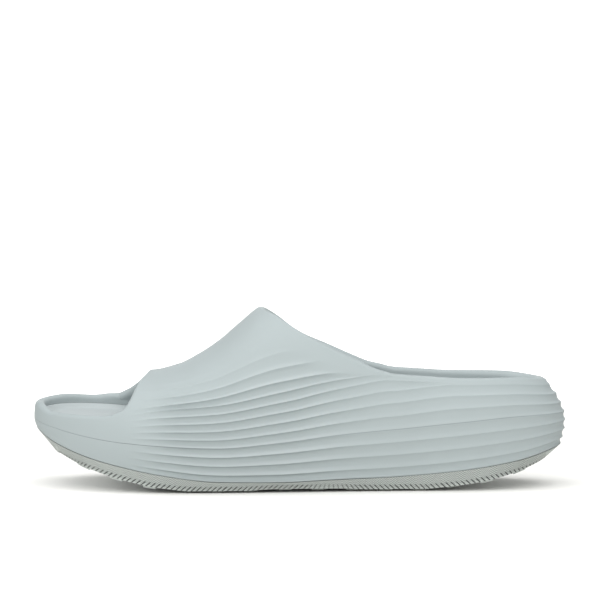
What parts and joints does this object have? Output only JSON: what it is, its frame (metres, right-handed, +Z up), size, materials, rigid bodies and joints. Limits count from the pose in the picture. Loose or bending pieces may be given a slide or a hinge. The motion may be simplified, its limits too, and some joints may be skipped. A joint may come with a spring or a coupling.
{
  "type": "slide sandal",
  "caption": "Moulded foam slide sandal with a wide closed vamp, open toe and heel, ribbed sides and a rubber outsole with tread bars.",
  "frame": {"origin": "on the floor under the middle of the shoe's box", "axes": "+X towards the heel, +Y towards the medial side, +Z up"},
  "size_m": [0.2974, 0.1122, 0.0995],
  "materials": {
    "foam": "matt moulded foam, pale blue grey",
    "footbed": "fine matt footbed, pale blue grey",
    "outsole_rubber": "satin rubber, pale warm grey"
  },
  "bodies": {
    "root": {"foam_upper_and_midsole": "foam", "insole": "footbed", "outsole": "outsole_rubber"}
  },
  "joints": []
}
